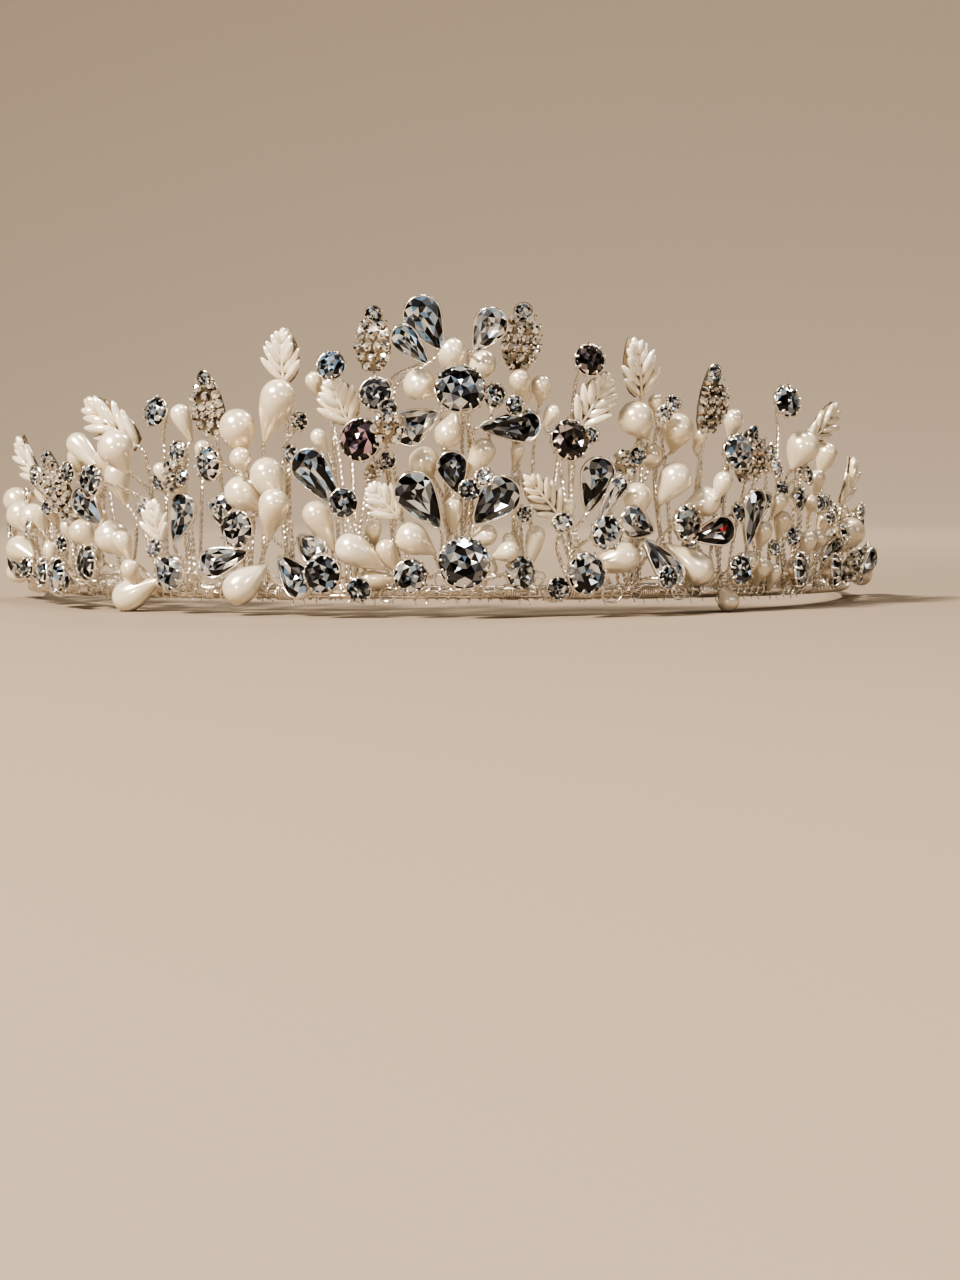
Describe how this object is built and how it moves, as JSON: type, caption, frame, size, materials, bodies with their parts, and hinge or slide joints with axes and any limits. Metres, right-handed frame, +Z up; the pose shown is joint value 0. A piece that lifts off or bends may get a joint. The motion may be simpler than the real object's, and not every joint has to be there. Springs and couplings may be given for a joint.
{
  "type": "tiara",
  "caption": "Bridal tiara: a slim open wire band carrying a low crown of wired cut crystals in claw cups, pear crystals, drop pearls, cast leaves and stone-set leaves.",
  "frame": {"origin": "middle of the bottom of the box, on the surface that the tiara rests on", "axes": "+Z up, +X to the right as seen from the front, the front faces -Y and the band opens to +Y"},
  "size_m": [0.1476, 0.1388, 0.0453],
  "materials": {
    "silver_wire": "bright silver plated wire with a warm tone, hand twisted",
    "clear_crystal": "foil backed cut crystal, clear to steel grey",
    "smoky_crystal": "foil backed cut crystal, smoky aubergine",
    "pearl": "ivory pearl with a satin nacre coat",
    "ivory_leaf": "cast leaf in ivory pearl enamel, ridged",
    "set_leaf": "silver leaf set with small rhinestones"
  },
  "bodies": {
    "root": {"band": "silver_wire", "wire_spray_far_left": "silver_wire", "wire_spray_left": "silver_wire", "wire_spray_mid_left": "silver_wire", "wire_spray_middle": "silver_wire", "wire_spray_mid_right": "silver_wire", "wire_spray_right": "silver_wire", "wire_spray_far_right": "silver_wire", "round_crystal_1": "clear_crystal", "round_crystal_2": "clear_crystal", "round_crystal_3": "clear_crystal", "round_crystal_4": "clear_crystal", "round_crystal_5": "clear_crystal", "round_crystal_6": "clear_crystal", "round_crystal_7": "clear_crystal", "round_crystal_8": "smoky_crystal", "round_crystal_9": "clear_crystal", "round_crystal_10": "clear_crystal", "round_crystal_11": "clear_crystal", "round_crystal_12": "clear_crystal", "round_crystal_13": "smoky_crystal", "round_crystal_14": "clear_crystal", "round_crystal_15": "clear_crystal", "round_crystal_16": "clear_crystal", "round_crystal_17": "clear_crystal", "round_crystal_18": "clear_crystal", "pear_crystal_1": "clear_crystal", "pear_crystal_2": "clear_crystal", "pear_crystal_3": "clear_crystal", "pear_crystal_4": "clear_crystal", "pear_crystal_5": "clear_crystal", "pear_crystal_6": "clear_crystal", "pear_crystal_7": "clear_crystal", "pear_crystal_8": "clear_crystal", "pear_crystal_9": "clear_crystal", "pear_crystal_10": "clear_crystal", "pearl_1": "pearl", "pearl_2": "pearl", "pearl_3": "pearl", "pearl_4": "pearl", "pearl_5": "pearl", "pearl_6": "pearl", "pearl_7": "pearl", "pearl_8": "pearl", "pearl_9": "pearl", "leaf_1": "ivory_leaf", "leaf_2": "ivory_leaf", "leaf_3": "ivory_leaf", "leaf_4": "ivory_leaf", "leaf_5": "ivory_leaf", "leaf_6": "ivory_leaf", "leaf_7": "ivory_leaf", "leaf_8": "ivory_leaf", "leaf_9": "ivory_leaf", "stone_leaf_1": "set_leaf", "stone_leaf_2": "set_leaf", "stone_leaf_3": "set_leaf", "stone_leaf_4": "set_leaf", "stone_leaf_5": "set_leaf", "stone_leaf_6": "set_leaf"}
  },
  "joints": []
}
